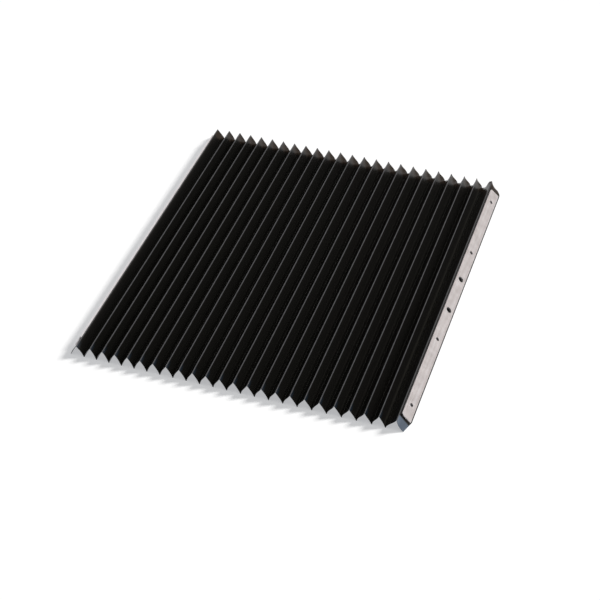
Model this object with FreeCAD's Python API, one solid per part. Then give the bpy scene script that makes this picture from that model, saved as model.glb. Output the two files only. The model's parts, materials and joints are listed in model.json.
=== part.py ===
import FreeCAD, Part
import math
import os

# Bellows way cover, in millimetres.
# X runs along the slideway, from the fixed end to the moving end.
# Y runs along the folds, and Z is up. The fold bottoms lie on Z = 0.

# The folded sheet
FOLDS = 24
FLANK = 15.0
SHEET_LENGTH = 421.0
SHEET_THICKNESS = 0.4
CREASE_RADIUS = SHEET_THICKNESS / 2
CREASE_FLATS = 4

# Foot-to-foot widths of the folds: they open up towards the moving end
FIRST_FOLD_HALF = 8.7
NARROW_FOLD = 13.95
WIDE_FOLD = 16.05
LAST_WHOLE_FOLD = 14.3
LAST_FOLD_HALF = 11.1

# The end folds carry the strips on their outer flanks
FIRST_OUTER_SLOPE = 61.5
FIRST_FOOT_HEIGHT = 0.15
LAST_INNER_FLANK = 17.35
LAST_OUTER_FLANK = 17.7
LAST_OUTER_SLOPE = 44.0

# Past the panels the sheet is limp: each flank relaxes into a curve
MARGIN = 12.8
FLAT_LENGTH = SHEET_LENGTH - 2 * MARGIN
RIDGE_DROOP = 0.4
FOOT_LIFT = 0.1
TAB_FOOT = (7.8, 0.4)
TAB_PULLS = (-2.0, -2.0)

# How far that curve's control points are pulled out of the flank: near the ridge, and near the foot
FIRST_FOLD_PULLS = {
    ("near", "front"): (1.2, 1.2),
    ("near", "back"): (1.1, 1.1),
    ("far", "front"): (0.1, 0.6),
    ("far", "back"): (-0.5, -1.0),
}
LAST_FOLD_PULLS = {
    ("near", "front"): (-0.4, 1.0),
    ("near", "back"): (-1.4, 2.8),
    ("far", "front"): (-2.2, 2.4),
    ("far", "back"): (-2.6, -5.0),
}
LAST_INNER_FAR_PULLS = (3.8, -5.2)

# Panels bonded under the flanks between the two strips
PANEL_THICKNESS = 0.8
PANEL_RIDGE_GAP = 2.4
PANEL_FOOT_GAP = 1.8

# Metal end strips
STRIP_WIDTH = 13.2
STRIP_LENGTH = FLAT_LENGTH
STRIP_THICKNESS = 1.5
STRIP_CORNER = 3.0
STRIP_BREAK = 0.2
FIXED_STRIP_DROP = 0.5
MOVING_STRIP_DROP = 2.4
MOVING_STRIP_SHIFT = -2.4

# Three pairs of screw holes on the strip's mid-line. The inner two pairs sit a little off the middle
MAIN_HOLE = 7.0
SIDE_HOLE = 4.3
HOLE_SHIFT = 2.4
MAIN_HOLE_SPACING = 54.0
SIDE_HOLE_SPACING = 152.6
OUTER_HOLE_SPACING = 356.0

# Length of a drill, how close an edge must lie to be picked, and the gap that sewing closes
DRILL_REACH = 6.0
PICK = 0.01
SEAM = 0.001


def fold_widths():
    """For every fold, how far its flanks spread: back towards the fixed end, and front."""
    whole = FOLDS - 3
    step = (WIDE_FOLD - NARROW_FOLD) / (whole - 1)
    widths = [NARROW_FOLD + step * i for i in range(whole)] + [LAST_WHOLE_FOLD]
    first = (None, FIRST_FOLD_HALF)
    last = (LAST_FOLD_HALF, None)
    return [first] + [(width / 2, width / 2) for width in widths] + [last]


def foot_height(front, back):
    """Height of the corner between two flanks whose round just touches Z = 0."""
    half_turn = (math.acos(front / FLANK) + math.acos(back / FLANK)) / 2
    return SHEET_THICKNESS / 2 - CREASE_RADIUS * (1 / math.cos(half_turn) - 1)


def corner_points():
    """The sheet's mid-line in XZ: outer foot, then ridge and foot by turns, to the other outer foot."""
    widths = fold_widths()
    front = widths[0][1]
    foot_z = foot_height(front, widths[1][0])
    ridge_z = foot_z + math.sqrt(FLANK ** 2 - front ** 2)
    outer_back = (ridge_z - FIRST_FOOT_HEIGHT) / math.tan(math.radians(FIRST_OUTER_SLOPE))
    points = [(-outer_back, FIRST_FOOT_HEIGHT), (0.0, ridge_z), (front, foot_z)]
    for fold in range(1, FOLDS):
        back, front = widths[fold]
        is_last = fold == FOLDS - 1
        flank = LAST_INNER_FLANK if is_last else FLANK
        ridge_x = points[-1][0] + back
        ridge_z = foot_z + math.sqrt(flank ** 2 - back ** 2)
        points.append((ridge_x, ridge_z))
        if not is_last:
            foot_z = foot_height(front, widths[fold + 1][0])
            points.append((ridge_x + front, foot_z))
    slope = math.radians(LAST_OUTER_SLOPE)
    reach, drop = LAST_OUTER_FLANK * math.cos(slope), LAST_OUTER_FLANK * math.sin(slope)
    points.append((ridge_x + reach, ridge_z - drop))
    return points


def vector(x, z):
    return FreeCAD.Vector(x, 0, z)


def along_y(length):
    return FreeCAD.Vector(0, length, 0)


CORNERS = [vector(x, z) for x, z in corner_points()]


def unit(a, b):
    """Direction from a to b."""
    return (b - a).normalize()


def upward(direction):
    """The normal of a flank, on the side of the sheet's upper face."""
    return vector(-direction.z, direction.x)


def relaxed_corners():
    """Where the sheet's corners stand at the very end of the limp margin."""
    ends = []
    for k, corner in enumerate(CORNERS):
        is_ridge = k % 2 == 1
        ends.append(corner + vector(0, -RIDGE_DROOP if is_ridge else FOOT_LIFT))
    ends[-1] = vector(ends[-2].x + TAB_FOOT[0], TAB_FOOT[1])
    return ends


def mix(a, b, share):
    return a + (b - a) * share


def faces_front(flank):
    """Whether a flank slopes down towards the moving end."""
    return flank % 2 == 1


def relaxed_pulls(flank, end):
    """The pulls of a flank's curve at one end of the sheet. They change evenly along the row of folds."""
    if flank == 2 * FOLDS - 1:
        return TAB_PULLS
    if (flank, end) == (2 * FOLDS - 2, "far"):
        return LAST_INNER_FAR_PULLS
    share = flank / (2 * FOLDS - 1)
    key = (end, "front" if faces_front(flank) else "back")
    return [mix(first, last, share) for first, last in zip(FIRST_FOLD_PULLS[key], LAST_FOLD_PULLS[key])]


def relaxed_edge(start, stop, normal, flank, end):
    """A flank's curve at a limp end of the sheet."""
    ridge_pull, foot_pull = relaxed_pulls(flank, end)
    pulls = (ridge_pull, foot_pull) if faces_front(flank) else (foot_pull, ridge_pull)
    third = (stop - start) / 3
    curve = Part.BezierCurve()
    curve.setPoles([start, start + third + normal * pulls[0], stop - third + normal * pulls[1], stop])
    return curve.toShape()


class Crease:
    """The round between two flanks. Its centre is the corner in which the sheet's inner faces meet."""

    def __init__(self, corners, k):
        before = unit(corners[k - 1], corners[k])
        after = unit(corners[k], corners[k + 1])
        half_turn = before.getAngle(after) / 2
        inward = (after - before).normalize()
        self.run = CREASE_RADIUS * math.tan(half_turn)
        self.centre = corners[k] + inward * (CREASE_RADIUS / math.cos(half_turn))
        self.before, self.after = upward(before), upward(after)

    def outside(self, side, place):
        """The round on the crease's outside, which is on the given side of the sheet.

        It is cut into flats, because full rounds on every crease would double the part's facets.
        """
        spoke = self.before * (side * (CREASE_RADIUS + SHEET_THICKNESS / 2))
        axis = self.before.cross(self.after)
        step = math.degrees(self.before.getAngle(self.after)) / CREASE_FLATS
        points = []
        for i in range(CREASE_FLATS + 1):
            points.append(self.centre + FreeCAD.Rotation(axis, step * i).multVec(spoke) + place)
        return [Part.LineSegment(a, b).toShape() for a, b in zip(points, points[1:])]


def face_edges(corners, side, y, end):
    """Edges of one face of the sheet at one Y. side is +1 for the upper face and -1 for the lower one.

    Every flank gives a line, or a curve where end names a limp end of the sheet.
    Every crease whose outside is on this face gives a round. The others give a plain corner.
    """
    place = along_y(y)
    last = 2 * FOLDS - 1
    creases = {k: Crease(corners, k) for k in range(1, last + 1)}
    edges = []
    for flank in range(last + 1):
        a, b = corners[flank], corners[flank + 1]
        along = unit(a, b)
        normal = upward(along)
        surface = normal * (side * SHEET_THICKNESS / 2) + place
        start_run = creases[flank].run if flank > 0 else 0.0
        stop_run = creases[flank + 1].run if flank < last else 0.0
        start = a + along * start_run + surface
        stop = b - along * stop_run + surface
        if end is None:
            edges.append(Part.LineSegment(start, stop).toShape())
        else:
            edges.append(relaxed_edge(start, stop, normal, flank, end))
        is_ridge_next = not faces_front(flank)
        if flank < last and is_ridge_next == (side > 0):
            edges += creases[flank + 1].outside(side, place)
    return edges


def section(y, end=None):
    """The closed outline of the sheet at one Y, as edges in a fixed order."""
    corners = CORNERS if end is None else relaxed_corners()
    upper = face_edges(corners, +1, y, end)
    lower = face_edges(corners, -1, y, end)
    first_cut = Part.LineSegment(first_point(lower), first_point(upper)).toShape()
    last_cut = Part.LineSegment(last_point(upper), last_point(lower)).toShape()
    return upper + [last_cut] + lower + [first_cut]


def first_point(edges):
    return edges[0].valueAt(edges[0].FirstParameter)


def last_point(edges):
    return edges[-1].valueAt(edges[-1].LastParameter)


def outline_face(edges):
    return Part.Face(Part.Wire(Part.__sortEdges__(edges)))


def folded_sheet():
    """One sheet: flat flanks over the panels, and a limp margin at both ends."""
    half = SHEET_LENGTH / 2
    near_end = section(-half, "near")
    near_flat = section(-half + MARGIN)
    far_flat = section(half - MARGIN)
    far_end = section(half, "far")
    faces = [outline_face(near_end), outline_face(far_end)]
    faces += [edge.extrude(along_y(FLAT_LENGTH)) for edge in near_flat]
    faces += [Part.makeRuledSurface(a, b) for a, b in zip(near_end, near_flat)]
    faces += [Part.makeRuledSurface(a, b) for a, b in zip(far_flat, far_end)]
    shell = Part.Compound(faces)
    shell.sewShape(SEAM)
    return Part.Solid(shell.Shells[0])


def hole_places():
    """(Y, diameter) of the six holes of a strip."""
    pairs = [
        (OUTER_HOLE_SPACING, 0.0, SIDE_HOLE),
        (SIDE_HOLE_SPACING, HOLE_SHIFT, SIDE_HOLE),
        (MAIN_HOLE_SPACING, HOLE_SHIFT, MAIN_HOLE),
    ]
    return [(shift + way * spacing / 2, diameter) for spacing, shift, diameter in pairs for way in (-1, 1)]


class Flank:
    """The frame of one flank: where its ridge is, which way is down it, and which way is out of it."""

    def __init__(self, number):
        a, b = CORNERS[number], CORNERS[number + 1]
        self.normal = upward(unit(a, b))
        self.ridge, self.foot = (a, b) if faces_front(number) else (b, a)
        self.down = unit(self.ridge, self.foot)
        self.length = (self.foot - self.ridge).Length

    def at(self, down, out, y=0.0):
        """A point by its distance down the flank from the ridge and out from the sheet's mid-line."""
        return self.ridge + self.down * down + self.normal * out + along_y(y)

    def slab(self, top, bottom, inner, outer, length, shift=0.0):
        """A flat bar along Y on this flank, between two distances down it and two distances out of it."""
        corners = [(top, inner), (bottom, inner), (bottom, outer), (top, outer)]
        points = [self.at(down, out, shift - length / 2) for down, out in corners]
        wire = Part.makePolygon(points + points[:1])
        return Part.Face(wire).extrude(along_y(length))

    def drills(self, down, shift):
        """Cylinders for the strip's six holes, square to the flank."""
        cutters = []
        for y, diameter in hole_places():
            start = self.at(down, -DRILL_REACH / 2, shift + y)
            cutters.append(Part.makeCylinder(diameter / 2, DRILL_REACH, start, self.normal))
        return cutters


class EndStrip:
    """A metal strip bonded on an end flank, some way down from the ridge and shifted along it."""

    def __init__(self, flank, drop, shift):
        self.flank, self.drop, self.shift = Flank(flank), drop, shift
        self.hole_line = drop + STRIP_WIDTH / 2

    def drills(self):
        return self.flank.drills(self.hole_line, self.shift)

    def solid(self):
        """The bar, with its ridge-side corners rounded and its outer edges broken."""
        flank = self.flank
        inner = SHEET_THICKNESS / 2
        outer = inner + STRIP_THICKNESS
        bar = flank.slab(self.drop, self.drop + STRIP_WIDTH, inner, outer, STRIP_LENGTH, self.shift)
        ridge_side = flank.at(self.drop, (inner + outer) / 2)
        posts = [e for e in bar.Edges if abs(e.Length - STRIP_THICKNESS) < PICK]
        ridge_posts = [e for e in posts if abs((e.CenterOfMass - ridge_side).dot(flank.down)) < PICK]
        bar = bar.makeFillet(STRIP_CORNER, ridge_posts)
        top = flank.at(0, outer)
        rim = [e for e in bar.Edges if all(abs((v.Point - top).dot(flank.normal)) < PICK for v in e.Vertexes)]
        return bar.makeChamfer(STRIP_BREAK, rim)


END_STRIPS = {
    "fixed": EndStrip(0, FIXED_STRIP_DROP, 0.0),
    "moving": EndStrip(2 * FOLDS - 1, MOVING_STRIP_DROP, MOVING_STRIP_SHIFT),
}


def panel(flank):
    """The stiff panel under one flank, short of the creases and of the limp margins."""
    outer = -SHEET_THICKNESS / 2
    inner = outer - PANEL_THICKNESS
    bottom = flank.length - PANEL_FOOT_GAP
    return flank.slab(PANEL_RIDGE_GAP, bottom, inner, outer, FLAT_LENGTH)


def build():
    drills = [drill for strip in END_STRIPS.values() for drill in strip.drills()]
    nodes = {"bellows_skin": folded_sheet().cut(drills)}
    for end, strip in END_STRIPS.items():
        nodes["end_strip_" + end] = strip.solid().cut(drills)
    for number in range(1, 2 * FOLDS - 1):
        nodes["stiffener_%02d" % number] = panel(Flank(number))
    return nodes


def bottom_centre(nodes):
    """The middle of the underside of the box round all pieces: the part's origin."""
    box = Part.Compound(list(nodes.values())).optimalBoundingBox()
    return FreeCAD.Vector(box.Center.x, box.Center.y, box.ZMin)


def main():
    os.makedirs("parts", exist_ok=True)
    nodes = build()
    origin = bottom_centre(nodes)
    for name, shape in nodes.items():
        shape.translated(-origin).exportStep("parts/%s.step" % name)


main()
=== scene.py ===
import json
import math

import bpy
import numpy as np
from mathutils import Euler, Matrix, Vector


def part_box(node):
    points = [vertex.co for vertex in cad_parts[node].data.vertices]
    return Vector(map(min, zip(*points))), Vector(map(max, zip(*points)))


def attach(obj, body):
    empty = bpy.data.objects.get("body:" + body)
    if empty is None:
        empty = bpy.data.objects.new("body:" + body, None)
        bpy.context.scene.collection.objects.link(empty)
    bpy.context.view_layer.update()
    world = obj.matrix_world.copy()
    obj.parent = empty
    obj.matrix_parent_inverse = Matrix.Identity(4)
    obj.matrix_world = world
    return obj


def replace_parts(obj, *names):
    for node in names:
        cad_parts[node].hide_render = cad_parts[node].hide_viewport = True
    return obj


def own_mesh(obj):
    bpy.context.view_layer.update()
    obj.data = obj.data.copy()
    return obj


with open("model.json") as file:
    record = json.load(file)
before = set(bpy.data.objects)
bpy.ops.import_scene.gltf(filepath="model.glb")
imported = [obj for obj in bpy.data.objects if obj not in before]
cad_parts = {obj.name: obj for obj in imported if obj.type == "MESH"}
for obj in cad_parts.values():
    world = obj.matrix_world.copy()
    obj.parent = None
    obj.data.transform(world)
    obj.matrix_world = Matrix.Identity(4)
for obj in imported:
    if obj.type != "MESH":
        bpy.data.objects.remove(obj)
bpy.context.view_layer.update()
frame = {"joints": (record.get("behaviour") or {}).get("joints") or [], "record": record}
MOUNTS = {mount["name"]: mount for mount in frame["record"]["mounts"]}
TRAVEL = frame["joints"][0]

# Sizes in metres. Places come from the frame
FLANKS = 48
SHEET_THICKNESS = 0.0004
CREASE_RADIUS = 0.00026
LAST_OUTER_FLANK = 0.0177
FIRST_FOOT_HEIGHT = 0.00015

# The limp margin past the panels. The pulls are how far a flank's curve is pulled out of it at the
# very end, near its ridge and near its foot
MARGIN = 0.0128
RIDGE_DROOP = 0.0004
FOOT_LIFT = 0.0001
TAB_FOOT = (0.0078, 0.0004)
TAB_PULLS = (-0.002, -0.002)
FIRST_FOLD_PULLS = {
    ("near", "front"): (0.0012, 0.0012),
    ("near", "back"): (0.0011, 0.0011),
    ("far", "front"): (0.0001, 0.0006),
    ("far", "back"): (-0.0005, -0.001),
}
LAST_FOLD_PULLS = {
    ("near", "front"): (-0.0004, 0.001),
    ("near", "back"): (-0.0014, 0.0028),
    ("far", "front"): (-0.0022, 0.0024),
    ("far", "back"): (-0.0026, -0.005),
}
LAST_INNER_FAR_PULLS = (0.0038, -0.0052)
PULL_SPREAD = 0.0002
NEAR_FOOT_REACH = 0.0014
NEAR_FOOT_DRIFT = 0.001
FAR_FOOT_DRIFT = 0.0014
SEEDS = {"near": 5, "far": 7}

# How finely the sheet's mesh follows its creases, flanks and margins
CREASE_STEPS = 6
FLANK_STEPS = (0.0, 0.02, 0.15, 0.32, 0.5, 0.68, 0.85, 0.98, 1.0)
MARGIN_ROWS = 10
FLAT_ROWS = 18

# Panels and strips
PANEL_THICKNESS = 0.0008
PANEL_BREAK = 0.00012
STRIP_WIDTH = 0.0132
STRIP_THICKNESS = 0.0015
STRIP_CORNER = 0.003
STRIP_BREAK = 0.0002
DRILL_LENGTH = 0.006
HOLE_SIDES = 64
CORNER_STEPS = 8

# An edge with a sharper turn than this, in degrees, is kept sharp or gets broken
SHARP_ANGLE = 40.0

# The cloth's finish, with light painted into it. Each pair is where something starts and where it
# is full, or where it starts to fade and where it is gone: down the flank from the ridge, or from
# the near end. The tab's painted reflection reaches past the foot
# Worn ridges with a painted highlight: how far down the flank it fades
RIDGE_WEAR_HIGHLIGHT_FADES = (0.0002, 0.0012)
# Painted fill light: where the lower flank, shaded by the next ridge, is coloured lighter
SHADE_FILL_STARTS = (0.0085, 0.0125)
FOOT_LINE_STARTS = (0.0142, 0.0147)
FOOT_LINE_FADES = (0.0152, 0.0156)
# Painted reflection: a blue tint near the ridges at the near end
NEAR_REFLECTION_FADES = (0.002, MARGIN)
NEAR_REFLECTION_DEPTH = 0.0045
# Painted reflection on the tab. It stops short of the strip, and the black left there is a painted
# shadow beside the strip's near end
TAB_REFLECTION_FADES = (0.0074, 0.0092)
TAB_REFLECTION_DEPTH = 1.0
CLOTH_ROUGHNESS = 0.24
TAB_FAR_ROUGHNESS = 0.7
CLOTH_IOR = 1.34

# Colours
FLANK_BLACK = (0.003, 0.0028, 0.0024)
# Painted fill light on the lower flanks, which the next ridge shades
SHADE_FILL_GREY = (0.0205, 0.019, 0.016)
FOOT_LINE_GREY = (0.05, 0.048, 0.038)
# Painted warm sheen on the limp far margins
FAR_SHEEN_BROWN = (0.014, 0.009, 0.006)
# Worn ridge crests, also a painted highlight
WORN_HIGHLIGHT_GREY = (0.072, 0.072, 0.076)
# Painted blue reflection near the ridges at the near end
NEAR_BLUE_REFLECTION = (0.005, 0.0095, 0.015)
# Painted blue-grey reflection on the tab
TAB_REFLECTION_GREY = (0.085, 0.105, 0.135)
BACKING_BLACK = (0.014, 0.014, 0.014)
CUT_EDGE_BROWN = (0.22, 0.18, 0.15)
PANEL_GREY = (0.03, 0.03, 0.032)
METAL_DARKER = (0.74, 0.702, 0.708)
METAL_LIGHTER = (0.86, 0.822, 0.83)
FLOOR_WHITE = (0.9, 0.9, 0.9)
FLOOR_GLOW = (0.445, 0.452, 0.465)
FLOOR_LIT = (0.58, 0.573, 0.56)
WHITE = (1.0, 1.0, 1.0)
WARM_WHITE = (1.0, 0.88, 0.78)

# The floor: where it lies under the strips of the open cover, out from the middle, how near
# a thing above it must be to cover it there, and how far it reaches
UNDER_STRIP_STARTS = (0.155, 0.162)
UNDER_STRIP_FADES = (0.182, 0.184)
UNDER_STRIP_ENDS = (0.186, 0.192)
COVER_REACH = 0.02
FLOOR_REACH = 4.0

# The camera and the light
CAMERA_PLACE = (0.41978, -1.26269, 1.10258)
CAMERA_YAW = 18.35
CAMERA_PITCH = 40.86
CAMERA_LENS = 92.07
KEY_DIRECTION = (1.2, 1.1, 1.0)
KEY_STRENGTH = 4.9
KEY_SPREAD = 15.0
TOP_STRENGTH = 0.52
TOP_SPREAD = 30.0
FILL_STRENGTH = 0.03


# Node trees


class Signal:
    """An output of a node. It can be added, multiplied and fed to other nodes."""

    def __init__(self, nodes, socket):
        self.nodes, self.socket = nodes, socket

    def math(self, operation, *others):
        values = dict(enumerate((self,) + others))
        return self.nodes.add("ShaderNodeMath", values, operation=operation)

    def __add__(self, other):
        return self.math("ADD", other)

    def __mul__(self, other):
        return self.math("MULTIPLY", other)

    def __sub__(self, other):
        return self.math("SUBTRACT", other)

    def __truediv__(self, other):
        return self.math("DIVIDE", other)

    def __rsub__(self, other):
        return self.math("MULTIPLY", -1.0) + other

    __radd__ = __add__
    __rmul__ = __mul__

    def sibling(self, output):
        """Another output of the same node."""
        return Signal(self.nodes, self.socket.node.outputs[output])

    def clamp(self):
        return self.nodes.add("ShaderNodeClamp", {0: self})

    def ease(self, low, high, start=0.0, stop=1.0):
        """Goes smoothly from start to stop as the value goes from low to high."""
        inputs = {"Value": self, "From Min": low, "From Max": high, "To Min": start, "To Max": stop}
        return self.nodes.add("ShaderNodeMapRange", inputs, interpolation_type="SMOOTHSTEP")

    def ramp(self, low, high, start=0.0, stop=1.0):
        """Goes evenly from start to stop as the value goes from low to high."""
        inputs = {"Value": self, "From Min": low, "From Max": high, "To Min": start, "To Max": stop}
        return self.nodes.add("ShaderNodeMapRange", inputs)


class Nodes:
    """Adds nodes to a tree, with their inputs given by name or place."""

    def __init__(self, tree):
        self.tree = tree

    def add(self, kind, inputs=None, output=0, **settings):
        node = self.tree.nodes.new(kind)
        for name, value in settings.items():
            setattr(node, name, value)
        for key, value in (inputs or {}).items():
            signals = value if isinstance(value, list) else [value]
            for signal in signals:
                if isinstance(signal, Signal):
                    self.tree.links.new(signal.socket, node.inputs[key])
                else:
                    node.inputs[key].default_value = signal
        return Signal(self, node.outputs[output]) if node.outputs else None


# Materials


def new_material(name):
    material = bpy.data.materials.new(name)
    material.use_nodes = True
    material.node_tree.nodes.clear()
    return material, Nodes(material.node_tree)


def finish_material(nodes, shader):
    nodes.add("ShaderNodeOutputMaterial", {"Surface": shader})


def opaque(colour):
    return (*colour, 1.0)


def colour_mix(nodes, share, first, second):
    """A mix of two colours, which are signals or three numbers."""
    first, second = (end if isinstance(end, Signal) else opaque(end) for end in (first, second))
    return nodes.add("ShaderNodeMix", {0: share, 6: first, 7: second}, output=2, data_type="RGBA")


def mottle(nodes, place, scale, detail, low=0.35, high=0.65, start=0.0, stop=1.0):
    """Cloudy spots. Noise from low to high goes from start to stop."""
    noise = nodes.add("ShaderNodeTexNoise", {"Vector": place, "Scale": scale, "Detail": detail})
    return noise.ramp(low, high, start, stop)


def coated_cloth(name, end_reflection, reflection_fades, reflection_depth, far_roughness):
    """Black cloth with a glossy coat. It is worn grey along its ridges, which also paints a highlight
    there. It is painted lighter down its flanks, where the next ridge shades them, and has a lighter
    line at each foot.

    The map is (along the fold, down the flank from its ridge). The limp near end has a painted
    reflection, which fades between two distances from that end, and reaches reflection_depth down the
    flank. The limp far end has a painted brown sheen, with a roughness of its own.
    """
    material, nodes = new_material(name)
    place = nodes.add("ShaderNodeUVMap", uv_map="UVMap")
    along = nodes.add("ShaderNodeSeparateXYZ", {0: place})
    down = along.sibling(1)
    from_near, from_far = along + SHEET_LENGTH / 2, SHEET_LENGTH / 2 - along
    limp_far = from_far.ease(MARGIN * 0.8, MARGIN, 1.0, 0.0)
    blotches = mottle(nodes, place, 160.0, 3.0, low=0.3, high=0.7, start=0.6)
    # Worn grey crests, which also paint a highlight there
    wear_and_highlight = down.ease(*RIDGE_WEAR_HIGHLIGHT_FADES, 1.0, 0.0) * blotches
    # Painted reflection at the near end, near the ridges
    painted_reflection = from_near.ease(*reflection_fades, 1.0, 0.0) * down.ease(reflection_depth / 4, reflection_depth, 1.0, 0.0)
    above_line_end = down.ease(*FOOT_LINE_FADES, 1.0, 0.0)
    # Painted fill light: lighter colour down the flank, where the next ridge shades it
    shade_fill = down.ease(*SHADE_FILL_STARTS) * above_line_end
    foot_line = down.ease(*FOOT_LINE_STARTS) * above_line_end
    shade_filled = colour_mix(nodes, shade_fill, FLANK_BLACK, SHADE_FILL_GREY)
    lined = colour_mix(nodes, foot_line, shade_filled, FOOT_LINE_GREY)
    # Painted warm sheen on the limp far end
    far_sheened = colour_mix(nodes, limp_far, lined, FAR_SHEEN_BROWN)
    reflected = colour_mix(nodes, painted_reflection, far_sheened, end_reflection)
    colour = colour_mix(nodes, wear_and_highlight, reflected, WORN_HIGHLIGHT_GREY)
    roughness = CLOTH_ROUGHNESS + limp_far * (far_roughness - CLOTH_ROUGHNESS)
    coat = {"Base Color": colour, "Roughness": roughness, "IOR": CLOTH_IOR}
    finish_material(nodes, nodes.add("ShaderNodeBsdfPrincipled", coat))
    return material


def mottled_stuff(name, darker, lighter, scale, detail, finish):
    """A material in two shades. The finish names its other values."""
    material, nodes = new_material(name)
    place = nodes.add("ShaderNodeTexCoord", output=3)
    colour = colour_mix(nodes, mottle(nodes, place, scale, detail), darker, lighter)
    finish_material(nodes, nodes.add("ShaderNodeBsdfPrincipled", {"Base Color": colour, **finish}))
    return material


def plain_stuff(name, colour, roughness):
    darker = tuple(part * 0.75 for part in colour)
    return mottled_stuff(name, darker, colour, 400.0, 3.0, {"Roughness": roughness})


def bare_metal():
    """Mill-finished strip, dull and lightly mottled."""
    finish = {"Roughness": 0.45, "Metallic": 1.0}
    return mottled_stuff("bare_metal", METAL_DARKER, METAL_LIGHTER, 90.0, 4.0, finish)


def white_floor():
    """White, and clear from below. Where it is seen, its shadow is an even grey.

    It loses its glow under the drilled strips of the open cover, a painted shade there, so that their
    holes read dark.
    """
    material, nodes = new_material("white_floor")
    plain = nodes.add("ShaderNodeBsdfDiffuse", {"Color": opaque(FLOOR_WHITE)})
    place = nodes.add("ShaderNodeSeparateXYZ", {0: nodes.add("ShaderNodeTexCoord", output=3)})
    across, along = place.math("ABSOLUTE"), place.sibling(1).math("ABSOLUTE")
    in_band = across.ease(*UNDER_STRIP_STARTS) * across.ease(*UNDER_STRIP_FADES, 1.0, 0.0)
    under_strip = in_band * along.ease(*UNDER_STRIP_ENDS, 1.0, 0.0)
    reach = {"Distance": COVER_REACH}
    openness = nodes.add("ShaderNodeAmbientOcclusion", reach, output="AO", samples=16)
    covered = openness.ramp(0.4, 0.6, 1.0, 0.0)
    # Painted shade: no glow where a strip of the open cover lies close above
    strength = 1.0 - under_strip * covered
    glow = nodes.add("ShaderNodeEmission", {"Color": opaque(FLOOR_GLOW), "Strength": strength})
    thin = nodes.add("ShaderNodeBsdfDiffuse", {"Color": opaque(FLOOR_LIT)})
    lit = nodes.add("ShaderNodeAddShader", {0: glow, 1: thin})
    by_camera = nodes.add("ShaderNodeLightPath", output="Is Camera Ray")
    in_mirror = by_camera.sibling("Is Glossy Ray")
    through_glass = by_camera.sibling("Is Transmission Ray")
    seen = (by_camera + in_mirror + through_glass).clamp()
    above = nodes.add("ShaderNodeMixShader", {0: seen, 1: plain, 2: lit})
    is_below = nodes.add("ShaderNodeNewGeometry", output="Backfacing")
    clear = nodes.add("ShaderNodeBsdfTransparent")
    finish_material(nodes, nodes.add("ShaderNodeMixShader", {0: is_below, 1: above, 2: clear}))
    return material


# The folds, read off the frame: every panel lies under one flank


def slope_of(width, height, thickness):
    """The slope of a bar, from the box round it and its thickness, in steps that close in on it."""
    slope = math.atan2(height, width)
    for _ in range(12):
        slope = math.atan2(height - thickness * math.cos(slope), width - thickness * math.sin(slope))
    return slope


def panel_box(flank):
    """The box round the panel under a flank, as two corners, and the panel's slope."""
    low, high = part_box("stiffener_%02d" % flank)
    return low, high, slope_of(high.x - low.x, high.z - low.z, PANEL_THICKNESS)


def flank_line(flank):
    """(point, direction) of one flank's mid-line in XZ. The direction runs towards the moving end."""
    if flank in (0, FLANKS - 1):
        mount = MOUNTS["fixed_end_face" if flank == 0 else "moving_end_face"]
        normal = np.array([mount["axis"][0], mount["axis"][2]])
        point = np.array([mount["pos_m"][0], mount["pos_m"][2]])
        depth = STRIP_THICKNESS + SHEET_THICKNESS / 2
        return point - normal * depth, np.array([normal[1], -normal[0]])
    low, high, slope = panel_box(flank)
    fall = -1.0 if flank % 2 else 1.0
    direction = np.array([math.cos(slope), fall * math.sin(slope)])
    normal = np.array([-direction[1], direction[0]])
    middle = np.array([low.x + high.x, low.z + high.z]) / 2
    return middle + normal * (PANEL_THICKNESS + SHEET_THICKNESS) / 2, direction


def crossing(first, second):
    """Where two lines in a plane cross."""
    (a, u), (b, v) = first, second
    share = np.linalg.solve(np.array([u, -v]).T, b - a)[0]
    return a + u * share


def read_corners():
    """The corners of the sheet's mid-line in XZ, from outer foot to outer foot."""
    lines = [flank_line(flank) for flank in range(FLANKS)]
    corners = [crossing(a, b) for a, b in zip(lines, lines[1:])]
    ridge, (_, direction) = corners[0], lines[0]
    first = ridge - direction * (ridge[1] - FIRST_FOOT_HEIGHT) / direction[1]
    last = corners[-1] + lines[-1][1] * LAST_OUTER_FLANK
    return [first] + corners + [last]


CORNERS = read_corners()
SHEET_LENGTH = (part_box("bellows_skin")[1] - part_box("bellows_skin")[0]).y


# The sheet


def relaxed_corners():
    """Where the corners stand at the very end of the limp margin."""
    ends = []
    for k, corner in enumerate(CORNERS):
        ends.append(corner + np.array([0.0, -RIDGE_DROOP if k % 2 else FOOT_LIFT]))
    ends[-1] = np.array([ends[-2][0] + TAB_FOOT[0], TAB_FOOT[1]])
    return ends


def relaxed_pulls(flank, end, chance):
    """How far a flank's curve is pulled out near its ridge and near its foot, at one end."""
    if flank == FLANKS - 1:
        return TAB_PULLS
    if (flank, end) == (FLANKS - 2, "far"):
        return LAST_INNER_FAR_PULLS
    share = flank / (FLANKS - 1)
    key = (end, "front" if flank % 2 else "back")
    pulls = zip(FIRST_FOLD_PULLS[key], LAST_FOLD_PULLS[key])
    return [a + (b - a) * share + chance.normal(0.0, PULL_SPREAD) for a, b in pulls]


def swell(u, pulls):
    """The bulge of a cubic curve at u, from 0 at the ridge to 1 at the foot."""
    return 3 * u * (1 - u) * ((1 - u) * pulls[0] + u * pulls[1])


def turn_of(a, b, c):
    """Angles of the upward normals before and after corner b."""
    before, after = b - a, c - b
    return math.atan2(before[0], -before[1]), math.atan2(after[0], -after[1])


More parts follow.
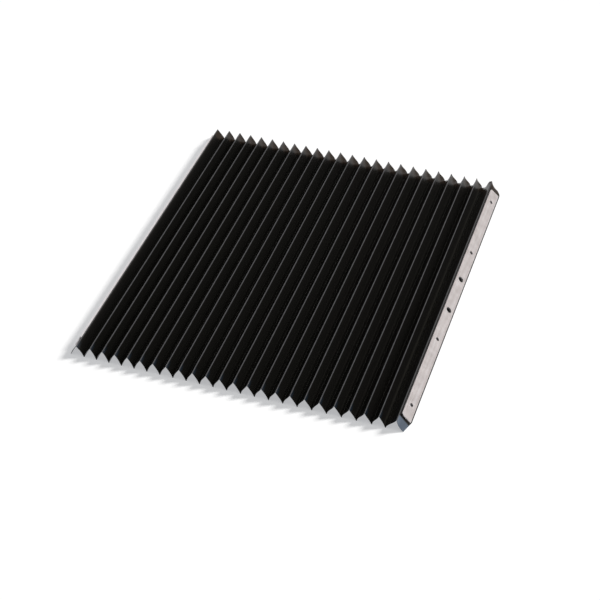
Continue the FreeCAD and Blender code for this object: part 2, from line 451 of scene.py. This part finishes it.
def sheet_line(corners, end=None):
    """Points of the sheet's mid-line in XZ, and for each its two facts.

    They are its distance from the ridge, down the flank, and how limp the last flank is there.
    """
    chance = np.random.default_rng(SEEDS[end]) if end else None
    turns = {k: turn_of(*corners[k - 1 : k + 2]) for k in range(1, FLANKS)}
    runs = {k: CREASE_RADIUS * math.tan(abs(a - b) / 2) for k, (a, b) in turns.items()}
    half_arcs = {k: CREASE_RADIUS * abs(a - b) / 2 for k, (a, b) in turns.items()}
    points, facts = [], []
    for flank in range(FLANKS):
        a, b = corners[flank], corners[flank + 1]
        along = (b - a) / np.linalg.norm(b - a)
        normal = np.array([-along[1], along[0]])
        start = a + along * runs.get(flank, 0.0)
        stop = b - along * runs.get(flank + 1, 0.0)
        length = np.linalg.norm(stop - start)
        faces_front = flank % 2 == 1
        half_arc = half_arcs[flank if faces_front else flank + 1]
        pulls = relaxed_pulls(flank, end, chance) if end else (0.0, 0.0)
        for t in FLANK_STEPS:
            u = t if faces_front else 1 - t
            points.append(start + (stop - start) * t + normal * swell(u, pulls))
            facts.append((half_arc + u * length, t if flank == FLANKS - 1 else 0.0))
        if flank + 1 == FLANKS:
            break
        first, last = turns[flank + 1]
        is_ridge = not faces_front
        side = 1.0 if is_ridge else -1.0
        bisector = np.array([math.cos((first + last) / 2), math.sin((first + last) / 2)])
        centre = b - bisector * side * CREASE_RADIUS / math.cos((first - last) / 2)
        for step in range(1, CREASE_STEPS):
            share = step / CREASE_STEPS
            angle = first + (last - first) * share
            points.append(centre + np.array([math.cos(angle), math.sin(angle)]) * side * CREASE_RADIUS)
            from_middle = abs(share - 0.5) * 2 * half_arcs[flank + 1]
            foot_place = half_arc + length + half_arcs[flank + 1]
            facts.append((from_middle if is_ridge else foot_place - from_middle, 0.0))
    return np.array(points), np.array(facts)


def sheet_section():
    """The sheet's flat section, how far its points move at both limp ends, and their facts."""
    flat, facts = sheet_line(CORNERS)
    near, far = (sheet_line(relaxed_corners(), end)[0] - flat for end in ("near", "far"))
    near, far = (np.insert(shift, 1, 0.0, axis=1) for shift in (near, far))
    down = facts[:, 0] / facts[:, 0].max()
    free = 1.0 - facts[:, 1]
    inward = down * free * np.sin(np.linspace(0.0, math.pi, len(flat)))
    near[:, 0] += NEAR_FOOT_DRIFT * inward
    far[:, 0] += FAR_FOOT_DRIFT * inward
    near[:, 1] -= NEAR_FOOT_REACH * down
    return flat, near, far, facts


def point_mesh(name, points, attributes):
    """Loose points as a mesh. Each attribute has one number or one vector per point."""
    mesh = bpy.data.meshes.new(name)
    mesh.from_pydata(points, [], [])
    for title, values in attributes.items():
        values = np.array(values, np.float32)
        kind, field = ("FLOAT_VECTOR", "vector") if values.ndim == 2 else ("FLOAT", "value")
        mesh.attributes.new(title, kind, "POINT").data.foreach_set(field, values.ravel())
    return mesh


def section_mesh(name, first, last):
    """The points of the sheet's section from one index to another."""
    flat, near, far, facts = (values[first:last] for values in sheet_section())
    attributes = {
        "near_shift": near,
        "far_shift": far,
        "from_ridge": facts[:, 0],
        "limp": facts[:, 1],
    }
    return point_mesh(name, [(x, 0.0, z) for x, z in flat], attributes)


# Geometry trees


def new_geometry_tree(name, inputs):
    """A geometry tree with named inputs. Returns the tree, its nodes, and its inputs as signals."""
    tree = bpy.data.node_groups.new(name, "GeometryNodeTree")
    tree.interface.new_socket("Geometry", in_out="INPUT", socket_type="NodeSocketGeometry")
    for title, kind in inputs.items():
        tree.interface.new_socket(title, in_out="INPUT", socket_type=kind)
    tree.interface.new_socket("Geometry", in_out="OUTPUT", socket_type="NodeSocketGeometry")
    nodes = Nodes(tree)
    first = nodes.add("NodeGroupInput")
    return tree, nodes, {title: first.sibling(title) for title in ("Geometry", *inputs)}


def finish_geometry_tree(nodes, geometry, material):
    real = nodes.add("GeometryNodeRealizeInstances", {"Geometry": geometry})
    dressed = nodes.add("GeometryNodeSetMaterial", {"Geometry": real, "Material": material})
    nodes.add("NodeGroupOutput", {0: dressed})


# Kinds of inputs
FLOAT, WHOLE, STUFF = "NodeSocketFloat", "NodeSocketInt", "NodeSocketMaterial"


def attribute(nodes, name, kind="FLOAT"):
    return nodes.add("GeometryNodeInputNamedAttribute", {"Name": name}, data_type=kind)


def folded_sheet_tree():
    """Runs a section along Y, with rows close together in the limp margins, and lets it sag there."""
    tree, nodes, given = new_geometry_tree(
        "folded_sheet",
        {"Length": FLOAT, "Margin": FLOAT, "Margin Rows": WHOLE, "Flat Rows": WHOLE, "Material": STUFF},
    )
    section = given["Geometry"]
    columns = nodes.add("GeometryNodeAttributeDomainSize", {"Geometry": section})
    last_column = columns - 1.0
    last_row = given["Margin Rows"] * 2.0 + given["Flat Rows"]
    grid = nodes.add(
        "GeometryNodeMeshGrid",
        {"Size X": last_column, "Size Y": last_row, "Vertices X": columns, "Vertices Y": last_row + 1.0},
    )
    parts = nodes.add("ShaderNodeSeparateXYZ", {0: nodes.add("GeometryNodeInputPosition")})
    column = (parts + last_column / 2.0).math("ROUND")
    row = (parts.sibling(1) + last_row / 2.0).math("ROUND")

    flat_length = given["Length"] - given["Margin"] * 2.0
    past_near = (row / given["Margin Rows"]).clamp()
    past_flat = ((row - given["Margin Rows"]) / given["Flat Rows"]).clamp()
    past_far = ((row - given["Margin Rows"] - given["Flat Rows"]) / given["Margin Rows"]).clamp()
    from_near = past_near * given["Margin"] + past_flat * flat_length + past_far * given["Margin"]
    y = from_near - given["Length"] / 2.0

    def on_section(value, kind):
        inputs = {"Geometry": section, "Value": value, "Index": column}
        return nodes.add("GeometryNodeSampleIndex", inputs, data_type=kind)

    def scaled(vector, share):
        return nodes.add("ShaderNodeVectorMath", {0: vector, "Scale": share}, operation="SCALE")

    def total(a, b):
        return nodes.add("ShaderNodeVectorMath", {0: a, 1: b}, operation="ADD")

    def sag(share):
        """How far a limp end has bent at a share of its length, like a bar that is held at one end."""
        return share * share * (1.5 - share * 0.5)

    near_share = 1.0 - past_near
    held_sag = sag(near_share)
    near_sag = held_sag + (near_share - held_sag) * on_section(attribute(nodes, "limp"), "FLOAT")
    place = on_section(nodes.add("GeometryNodeInputPosition"), "FLOAT_VECTOR")
    near_shift = on_section(attribute(nodes, "near_shift", "FLOAT_VECTOR"), "FLOAT_VECTOR")
    far_shift = on_section(attribute(nodes, "far_shift", "FLOAT_VECTOR"), "FLOAT_VECTOR")
    shift = total(scaled(near_shift, near_sag), scaled(far_shift, sag(past_far)))
    run = nodes.add("ShaderNodeCombineXYZ", {1: y})
    from_ridge = on_section(attribute(nodes, "from_ridge"), "FLOAT")
    flat_map = nodes.add("ShaderNodeCombineXYZ", {0: y, 1: from_ridge})
    mapped = nodes.add(
        "GeometryNodeStoreNamedAttribute",
        {"Geometry": grid, "Name": "UVMap", "Value": flat_map},
        data_type="FLOAT2",
        domain="CORNER",
    )
    position = total(total(place, run), shift)
    moved = nodes.add("GeometryNodeSetPosition", {"Geometry": mapped, "Position": position})
    finish_geometry_tree(nodes, moved, given["Material"])
    return tree


def panels_tree():
    """A flat bar on every point, turned and sized by the point's attributes."""
    tree, nodes, given = new_geometry_tree("panels", {"Material": STUFF})
    turn = nodes.add("FunctionNodeEulerToRotation", {0: attribute(nodes, "turn", "FLOAT_VECTOR")})
    bars = nodes.add(
        "GeometryNodeInstanceOnPoints",
        {
            "Points": given["Geometry"],
            "Instance": nodes.add("GeometryNodeMeshCube"),
            "Rotation": turn,
            "Scale": attribute(nodes, "size", "FLOAT_VECTOR"),
        },
    )
    finish_geometry_tree(nodes, bars, given["Material"])
    return tree


def drilled_strip_tree():
    """A flat strip with a round hole at every point. Its two ridge-side corners are rounded."""
    tree, nodes, given = new_geometry_tree(
        "drilled_strip",
        {"Length": FLOAT, "Width": FLOAT, "Corner": FLOAT, "Ridge Side": FLOAT, "Material": STUFF},
    )
    outline = nodes.add(
        "GeometryNodeCurvePrimitiveQuadrilateral",
        {"Width": given["Width"], "Height": given["Length"]},
    )
    across = nodes.add("ShaderNodeSeparateXYZ", {0: nodes.add("GeometryNodeInputPosition")})
    is_ridge_side = (across * given["Ridge Side"]).math("GREATER_THAN", 0.0)
    rounded = nodes.add(
        "GeometryNodeFilletCurve",
        {"Curve": outline, "Radius": is_ridge_side * given["Corner"], "Count": CORNER_STEPS},
        mode="POLY",
    )
    ring = nodes.add("GeometryNodeCurvePrimitiveCircle", {"Resolution": HOLE_SIDES, "Radius": 1.0})
    rings = nodes.add(
        "GeometryNodeInstanceOnPoints",
        {"Points": given["Geometry"], "Instance": ring, "Scale": attribute(nodes, "radius")},
    )
    real_rings = nodes.add("GeometryNodeRealizeInstances", {"Geometry": rings})
    joined = nodes.add("GeometryNodeJoinGeometry", {0: [rounded, real_rings]})
    face = nodes.add("GeometryNodeFillCurve", {"Curve": joined}, mode="NGONS")
    finish_geometry_tree(nodes, face, given["Material"])
    return tree


def drills_tree():
    """A long cylinder at every point."""
    tree, nodes, given = new_geometry_tree("drills", {"Length": FLOAT, "Material": STUFF})
    size = {"Vertices": HOLE_SIDES, "Radius": 1.0, "Depth": given["Length"]}
    pin = nodes.add("GeometryNodeMeshCylinder", size)
    radius = attribute(nodes, "radius")
    scale = nodes.add("ShaderNodeCombineXYZ", {0: radius, 1: radius, 2: 1.0})
    pins = nodes.add(
        "GeometryNodeInstanceOnPoints",
        {"Points": given["Geometry"], "Instance": pin, "Scale": scale},
    )
    finish_geometry_tree(nodes, pins, given["Material"])
    return tree


# Making pieces


def run_tree(name, mesh, tree, inputs, finishers=()):
    """An object with what the tree makes of the mesh. The finishing modifiers are applied."""
    maker = bpy.data.objects.new(name, mesh)
    bpy.context.scene.collection.objects.link(maker)
    modifier = maker.modifiers.new("shape", "NODES")
    modifier.node_group = tree
    for item in tree.interface.items_tree:
        if item.in_out == "INPUT" and item.name in inputs:
            modifier[item.identifier] = inputs[item.name]
    for add_finisher in finishers:
        add_finisher(maker)
    depsgraph = bpy.context.evaluated_depsgraph_get()
    made = bpy.data.meshes.new_from_object(maker.evaluated_get(depsgraph), depsgraph=depsgraph)
    maker.modifiers.clear()
    maker.data = made
    made.name = name
    return maker


def smooth(mesh):
    """Smooth shading, with sharp edges kept."""
    mesh.shade_smooth()
    mesh.set_sharp_from_angle(angle=math.radians(SHARP_ANGLE))


def thicken(thickness, offset, inner_slot=0, rim_slot=0):
    def add(piece):
        solid = piece.modifiers.new("thickness", "SOLIDIFY")
        solid.thickness = thickness
        solid.offset = offset
        solid.use_even_offset = True
        solid.material_offset = inner_slot
        solid.material_offset_rim = rim_slot

    return add


def break_edges(width, segments=2):
    def add(piece):
        bevel = piece.modifiers.new("edges", "BEVEL")
        bevel.width = width
        bevel.segments = segments
        bevel.limit_method = "ANGLE"
        bevel.angle_limit = math.radians(SHARP_ANGLE)

    return add


def drill_out(cutter):
    def add(piece):
        cut = piece.modifiers.new("holes", "BOOLEAN")
        cut.operation = "DIFFERENCE"
        cut.object = cutter
        cut.solver = "EXACT"

    return add


def strip_middle(end):
    low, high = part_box("end_strip_" + end)
    return (low.y + high.y) / 2


def strip_place(end):
    """The frame of a strip: X across it, Y along the folds, Z out of its outer face."""
    mount = MOUNTS[end + "_end_face"]
    outward = Vector(mount["axis"])
    along = Vector((0, 1, 0))
    place = Matrix((along.cross(outward), along, outward)).transposed().to_4x4()
    place.translation = (mount["pos_m"][0], strip_middle(end), mount["pos_m"][2])
    return place


def hole_points(end):
    """The strip's hole centres on its mid-line, as a mesh of points with radii."""
    holes = []
    for mount in MOUNTS.values():
        if mount["kind"] == "bolt_pattern" and mount["name"].startswith(end):
            for way in (-0.5, 0.5):
                y = mount["pos_m"][1] + way * mount["dims"]["pcd_mm"] / 1000 - strip_middle(end)
                holes.append((y, mount["dims"]["hole_r_mm"] / 1000))
    places, radii = [(0.0, y, 0.0) for y, _ in holes], [radius for _, radius in holes]
    return point_mesh(end + "_holes", places, {"radius": radii})


def make_strip(end, tree, material):
    low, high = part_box("end_strip_" + end)
    inputs = {
        "Length": high.y - low.y,
        "Width": STRIP_WIDTH,
        "Corner": STRIP_CORNER,
        "Ridge Side": 1.0 if end == "fixed" else -1.0,
        "Material": material,
    }
    finishers = [thicken(STRIP_THICKNESS, -1.0), break_edges(STRIP_BREAK)]
    strip = run_tree(end + "_end_strip", hole_points(end), tree, inputs, finishers)
    strip.data.transform(strip_place(end))
    smooth(strip.data)
    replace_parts(strip, "end_strip_" + end)
    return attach(strip, end + "_end")


def make_drills(end, tree):
    drills = run_tree(end + "_drills", hole_points(end), tree, {"Length": DRILL_LENGTH})
    drills.data.transform(strip_place(end))
    return drills


def make_sheet_piece(name, first, last, tree, materials, finishers=()):
    inputs = {
        "Length": SHEET_LENGTH,
        "Margin": MARGIN,
        "Margin Rows": MARGIN_ROWS,
        "Flat Rows": FLAT_ROWS,
        "Material": materials[0],
    }
    mesh = section_mesh(name, first, last)
    for material in materials:
        mesh.materials.append(material)
    finishers = [thicken(SHEET_THICKNESS, 0.0, 1, 2)] + list(finishers)
    piece = run_tree(name, mesh, tree, inputs, finishers)
    smooth(piece.data)
    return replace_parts(piece, "bellows_skin")


def make_sheet(cloth, tab_cloth, backing, cut_edge):
    """The sheet in three pieces: what folds up, and the two end flanks that stay with their strips.

    It is cut on the end flanks, one step short of their ridges.
    """
    tree = folded_sheet_tree()
    drills = drills_tree()
    line = sheet_section()[0]
    first_cut = len(FLANK_STEPS) - 2
    last_cut = len(line) - len(FLANK_STEPS) + 1
    pieces = (
        ("sheet_fixed_flank", 0, first_cut + 1, cloth, "fixed"),
        ("sheet_folds", first_cut, last_cut + 1, cloth, None),
        ("sheet_moving_flank", last_cut, len(line), tab_cloth, "moving"),
    )
    for name, first, last, face, end in pieces:
        cutter = make_drills(end, drills) if end else None
        finishers = [drill_out(cutter)] if end else []
        piece = make_sheet_piece(name, first, last, tree, (face, backing, cut_edge), finishers)
        if end:
            bpy.data.objects.remove(cutter)
            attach(piece, end + "_end")
        else:
            fold_up(piece, line[first][0], line[last - 1][0])
        rest = end + "_end_strip" if end else "stiffener_panels"


def fold_up(piece, fixed_x, moving_x):
    """Gives the piece to the fixed end, with a mesh of its own. The share of it that keeps its length at
    full travel is worked out, but not used.
    """
    travel = max(abs(limit) for limit in TRAVEL["range_m"])
    keep = 1 - travel / (moving_x - fixed_x)
    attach(piece, "fixed_end")
    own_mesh(piece)


def make_panels(material):
    """All panels as one mesh, given to the fixed end with the folds."""
    centres, turns, sizes = [], [], []
    for flank in range(1, FLANKS - 1):
        low, high, slope = panel_box(flank)
        width = (high.x - low.x - PANEL_THICKNESS * math.sin(slope)) / math.cos(slope)
        centres.append((low + high) / 2)
        turns.append((0.0, slope if flank % 2 else -slope, 0.0))
        sizes.append((width, high.y - low.y, PANEL_THICKNESS))
    mesh = point_mesh("panel_places", centres, {"turn": turns, "size": sizes})
    finishers = [break_edges(PANEL_BREAK, 1)]
    panels = run_tree("stiffener_panels", mesh, panels_tree(), {"Material": material}, finishers)
    smooth(panels.data)
    names = ["stiffener_%02d" % flank for flank in range(1, FLANKS - 1)]
    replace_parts(panels, *names)
    return panels


# The stage


def make_floor():
    mesh = bpy.data.meshes.new("floor")
    corners = [(x * FLOOR_REACH, y * FLOOR_REACH, 0) for x, y in ((-1, -1), (1, -1), (1, 1), (-1, 1))]
    mesh.from_pydata(corners, [], [(0, 1, 2, 3)])
    mesh.materials.append(white_floor())
    floor = bpy.data.objects.new("floor", mesh)
    bpy.context.scene.collection.objects.link(floor)


def make_world():
    """White to the camera. Reflections see it bright at the back, dark in front, and warm low down."""
    world = bpy.data.worlds.new("surroundings")
    bpy.context.scene.world = world
    world.use_nodes = True
    world.node_tree.nodes.clear()
    nodes = Nodes(world.node_tree)
    seen = nodes.add("ShaderNodeLightPath", output="Is Camera Ray")
    mirrored = seen.sibling("Is Glossy Ray")
    through = seen.sibling("Is Transmission Ray")
    direction = nodes.add("ShaderNodeSeparateXYZ", {0: nodes.add("ShaderNodeTexCoord")})
    back, up = direction.sibling(1), direction.sibling(2)
    behind = back.ease(-0.3, 0.15, 0.05, 1.0)
    above = up.ease(0.0, 0.6, 0.4, 1.0)
    white = (seen + through).clamp()
    fill = (1.0 - (white + mirrored).clamp()) * FILL_STRENGTH
    strength = white + mirrored * behind * above + fill
    low = mirrored * up.ease(0.15, 0.5, 1.0, 0.0)
    colour = colour_mix(nodes, low, WHITE, WARM_WHITE)
    background = nodes.add("ShaderNodeBackground", {"Color": colour, "Strength": strength})
    nodes.add("ShaderNodeOutputWorld", {"Surface": background})


def make_lamp(name, direction, strength, spread):
    """A sun in the given direction, which doesn't show in the cloth's gloss."""
    light = bpy.data.lights.new(name, "SUN")
    light.energy = strength
    light.angle = math.radians(spread)
    lamp = bpy.data.objects.new(name, light)
    lamp.rotation_euler = Vector(direction).to_track_quat("Z", "Y").to_euler()
    lamp.visible_glossy = False
    bpy.context.scene.collection.objects.link(lamp)


def make_camera():
    data = bpy.data.cameras.new("camera")
    data.lens = CAMERA_LENS
    camera = bpy.data.objects.new("camera", data)
    camera.location = CAMERA_PLACE
    camera.rotation_euler = Euler((math.radians(90 - CAMERA_PITCH), 0, math.radians(CAMERA_YAW)))
    bpy.context.scene.collection.objects.link(camera)
    bpy.context.scene.camera = camera


def main():
    bpy.context.scene.view_settings.view_transform = "Standard"
    make_camera()
    make_world()
    make_lamp("key", KEY_DIRECTION, KEY_STRENGTH, KEY_SPREAD)
    make_lamp("top", (0, 0, 1), TOP_STRENGTH, TOP_SPREAD)
    make_floor()
    metal = bare_metal()
    strip_tree = drilled_strip_tree()
    for end in ("fixed", "moving"):
        make_strip(end, strip_tree, metal)
    panels = make_panels(plain_stuff("panel_plastic", PANEL_GREY, 0.5))
    fold_up(panels, CORNERS[1][0], CORNERS[-2][0])
    make_sheet(
        # Painted reflections at the near ends. On the tab it stops short of the strip, leaving a painted
        # shadow
        coated_cloth("coated_cloth", NEAR_BLUE_REFLECTION, NEAR_REFLECTION_FADES, NEAR_REFLECTION_DEPTH, CLOTH_ROUGHNESS),
        coated_cloth("tab_cloth", TAB_REFLECTION_GREY, TAB_REFLECTION_FADES, TAB_REFLECTION_DEPTH, TAB_FAR_ROUGHNESS),
        plain_stuff("cloth_backing", BACKING_BLACK, 0.8),
        plain_stuff("cut_edge", CUT_EDGE_BROWN, 0.8),
    )


main()
